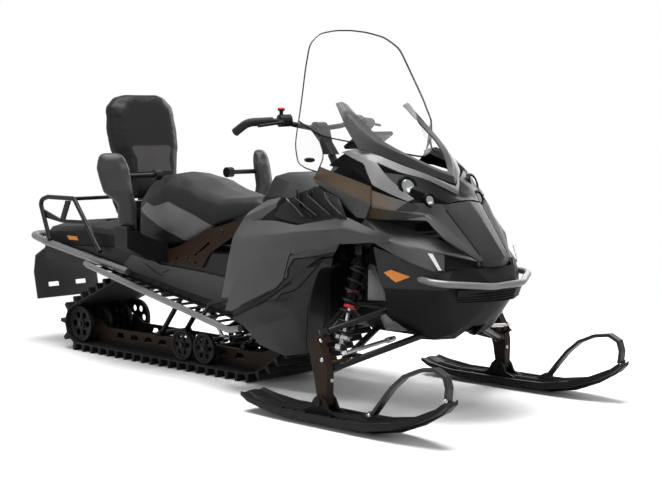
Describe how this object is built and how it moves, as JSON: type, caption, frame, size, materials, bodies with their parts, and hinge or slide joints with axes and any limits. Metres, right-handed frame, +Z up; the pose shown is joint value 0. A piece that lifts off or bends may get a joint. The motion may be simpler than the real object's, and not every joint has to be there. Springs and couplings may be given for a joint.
{
  "type": "snowmobile",
  "caption": "Two-seat touring snowmobile with steered skis, a rubber track, tall windshield, backrest with passenger guards and a cargo rack.",
  "frame": {"origin": "on the floor under the middle of the machine's length and width", "axes": "+X forward, +Y to the rider's left, +Z up"},
  "size_m": [2.966, 1.239, 1.4762],
  "materials": {
    "graphite_panel": "satin",
    "black_plastic": "textured",
    "gloss_black": "gloss",
    "bronze_paint": "satin",
    "black_paint": "satin",
    "silver_paint": "satin",
    "bezel_paint": "satin",
    "clear_glass": "clear",
    "lamp_glass": "clear",
    "amber": "gloss",
    "track_rubber": "matte",
    "grip_rubber": "matte",
    "seat_cover": "grained",
    "steel": "bright",
    "alloy": "satin"
  },
  "bodies": {
    "chassis": {"amber_lamps": "amber", "backrest": "seat_cover", "board_edge_tubes": "silver_paint", "cargo_deck": "black_plastic", "cargo_rack": "black_paint", "deflectors": "clear_glass", "display": "gloss_black", "drive_axle": "black_plastic", "engine": "alloy", "foot_rests": "black_paint", "front_bumper": "silver_paint", "front_fenders": "graphite_panel", "front_frame": "black_paint", "front_hull": "black_plastic", "front_shocks": "steel", "front_springs": "black_paint", "fuel_tank": "black_plastic", "grille": "black_plastic", "guard_plates": "silver_paint", "hand_guards": "black_plastic", "headlamps": "lamp_glass", "hood": "graphite_panel", "knee_strips": "graphite_panel", "lamp_bezel": "bezel_paint", "lamp_visor": "gloss_black", "lower_arms": "black_paint", "passenger_brackets": "black_paint", "quarter_windows": "gloss_black", "rail_wheels": "black_plastic", "rear_bumper": "silver_paint", "rear_shocks": "steel", "running_boards": "black_paint", "seat": "seat_cover", "seat_plates": "bronze_paint", "side_panels": "graphite_panel", "side_vents": "black_plastic", "slide_rails": "bronze_paint", "sliders": "black_plastic", "snow_flap": "black_plastic", "suspension_arms": "black_paint", "track": "track_rubber", "tunnel": "black_paint", "tunnel_covers": "graphite_panel", "upper_arms": "black_paint", "upper_panels": "bronze_paint", "windshield": "clear_glass", "windshield_frame": "graphite_panel"},
    "steering": {"handlebar": "black_paint", "steering_column": "black_paint", "grips": "grip_rubber", "controls": "black_plastic"},
    "spindle_left": {"spindle_left": "bronze_paint"},
    "spindle_right": {"spindle_right": "bronze_paint"},
    "tie_rod_left": {"tie_rod_left": "steel"},
    "tie_rod_right": {"tie_rod_right": "steel"},
    "ski_left": {"ski_left": "black_plastic", "ski_loop_left": "graphite_panel"},
    "ski_right": {"ski_right": "black_plastic", "ski_loop_right": "graphite_panel"}
  },
  "joints": [
    {"name": "steering_turn", "type": "hinge", "parent": "chassis", "child": "steering", "pos_m": [0.334, 0, 1.082], "axis": [-0.5299, 0, 0.848], "range_deg": [-38, 38]},
    {"name": "spindle_left_turn", "type": "hinge", "parent": "chassis", "child": "spindle_left", "pos_m": [0.903, 0.495, 0.205], "axis": [-0.4386, 0, 0.8987], "range_deg": [-33, 33]},
    {"name": "tie_rod_left_turn", "type": "hinge", "parent": "spindle_left", "child": "tie_rod_left", "pos_m": [0.945, 0.495, 0.262], "axis": [-0.4386, 0, 0.8987], "range_deg": [-33, 33]},
    {"name": "ski_left_pitch", "type": "hinge", "parent": "spindle_left", "child": "ski_left", "pos_m": [0.886, 0.537, 0.081], "axis": [0, 1, 0], "range_deg": [-20, 12], "stiffness_Nm_per_rad": 60},
    {"name": "spindle_right_turn", "type": "hinge", "parent": "chassis", "child": "spindle_right", "pos_m": [0.903, -0.495, 0.205], "axis": [-0.4386, 0, 0.8987], "range_deg": [-33, 33]},
    {"name": "tie_rod_right_turn", "type": "hinge", "parent": "spindle_right", "child": "tie_rod_right", "pos_m": [0.945, -0.495, 0.262], "axis": [-0.4386, 0, 0.8987], "range_deg": [-33, 33]},
    {"name": "ski_right_pitch", "type": "hinge", "parent": "spindle_right", "child": "ski_right", "pos_m": [0.886, -0.537, 0.081], "axis": [0, 1, 0], "range_deg": [-20, 12], "stiffness_Nm_per_rad": 60}
  ],
  "couplings": [
    {"joint": "spindle_left_turn", "follows": "steering_turn", "ratio": 0.85},
    {"joint": "tie_rod_left_turn", "follows": "steering_turn", "ratio": -0.85},
    {"joint": "spindle_right_turn", "follows": "steering_turn", "ratio": 0.85},
    {"joint": "tie_rod_right_turn", "follows": "steering_turn", "ratio": -0.85}
  ]
}
